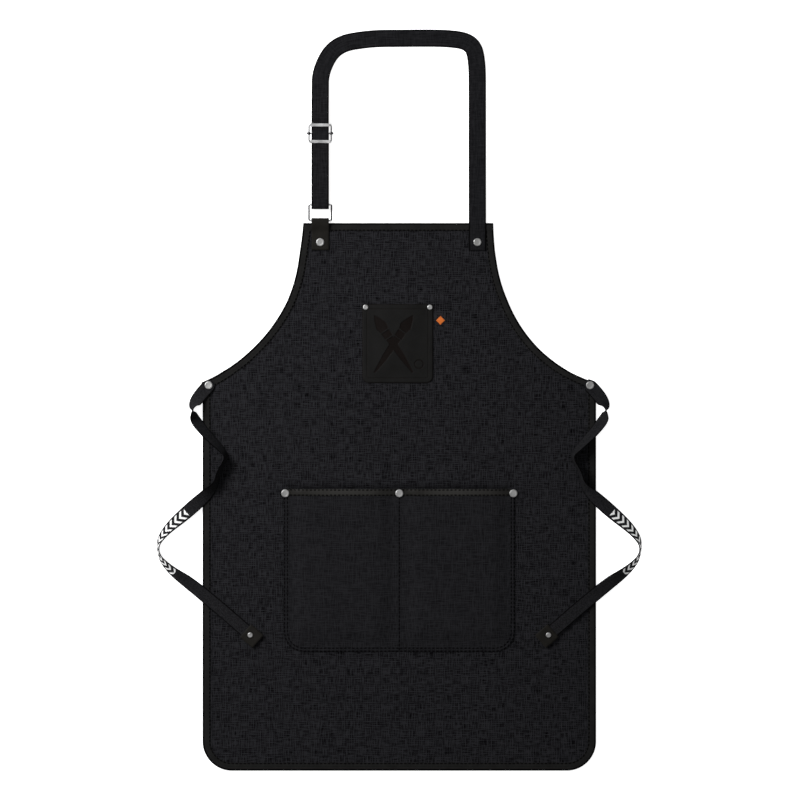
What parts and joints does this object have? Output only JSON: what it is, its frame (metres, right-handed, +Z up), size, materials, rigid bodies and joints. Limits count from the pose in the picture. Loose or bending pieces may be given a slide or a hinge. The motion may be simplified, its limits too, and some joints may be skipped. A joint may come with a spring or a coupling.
{
  "type": "bib apron",
  "caption": "Bib apron laid flat, with a buckled neck strap, waist ties, a divided lower pocket, a leather chest pocket and domed rivets.",
  "frame": {"origin": "under the middle of the apron laid flat on its back, on the surface it lies on", "axes": "+X to the right as seen from the front, +Y towards the neck strap, +Z up off the front of the cloth"},
  "size_m": [0.7272, 1.11, 0.0206],
  "materials": {
    "body_cloth": "slub weave, matt charcoal",
    "edge_band": "smooth dark binding",
    "pocket_cloth": "slub weave, matt charcoal",
    "gloss_leather": "glossy, nearly black",
    "patch_leather": "matt, dark grey",
    "tab_leather": "waxed, brown black",
    "orange_print": "matt print",
    "rivet_metal": "pale matt nickel",
    "chrome_wire": "bright",
    "strap_webbing": "fine weave, charcoal",
    "tie_webbing": "fine weave, near black"
  },
  "bodies": {
    "apron": {"body_panel": "body_cloth", "top_band": "edge_band", "armhole_band_left": "edge_band", "armhole_band_right": "edge_band", "skirt_band": "edge_band", "lower_pocket": "pocket_cloth", "pocket_top_band": "gloss_leather", "chest_pocket": "patch_leather", "accent_mark": "orange_print", "bib_rivets": "rivet_metal", "waist_rivets": "rivet_metal", "pocket_rivets": "rivet_metal", "chest_rivets": "rivet_metal", "strap_tab": "tab_leather", "neck_strap_end": "strap_webbing"},
    "neck_loop": {"neck_strap": "strap_webbing", "neck_strap_fold": "strap_webbing", "strap_return": "strap_webbing", "ring": "chrome_wire"},
    "slider_centre": {"slider_bar": "chrome_wire"},
    "slider_outer": {"slider_frame": "chrome_wire"},
    "left_tie": {"tie_left": "tie_webbing", "tie_end_tab_left": "tab_leather", "tie_end_rivet_left": "rivet_metal"},
    "right_tie": {"tie_right": "tie_webbing", "tie_end_tab_right": "tab_leather", "tie_end_rivet_right": "rivet_metal"}
  },
  "joints": [
    {"name": "neck_fold", "type": "hinge", "parent": "apron", "child": "neck_loop", "pos_m": [0, 0.2692, 0.0055], "axis": [1, 0, 0], "range_deg": [-90, 165], "deforming": ["neck_strap_fold"]},
    {"name": "slider_travel", "type": "slide", "parent": "neck_loop", "child": "slider_centre", "axis": [0, 1, 0], "range_m": [-0.055, 0.02], "deforming": ["strap_return"]},
    {"name": "slider_frame_shift", "type": "slide", "parent": "slider_centre", "child": "slider_outer", "axis": [0, 1, 0], "range_m": [-0.005, 0.005]},
    {"name": "left_tie_swing", "type": "hinge", "parent": "apron", "child": "left_tie", "pos_m": [-0.28575, 0.0225, 0.0032], "axis": [0, 0, 1], "range_deg": [-90, 0]},
    {"name": "right_tie_swing", "type": "hinge", "parent": "apron", "child": "right_tie", "pos_m": [0.28575, 0.0225, 0.0032], "axis": [0, 0, 1], "range_deg": [0, 90]}
  ]
}
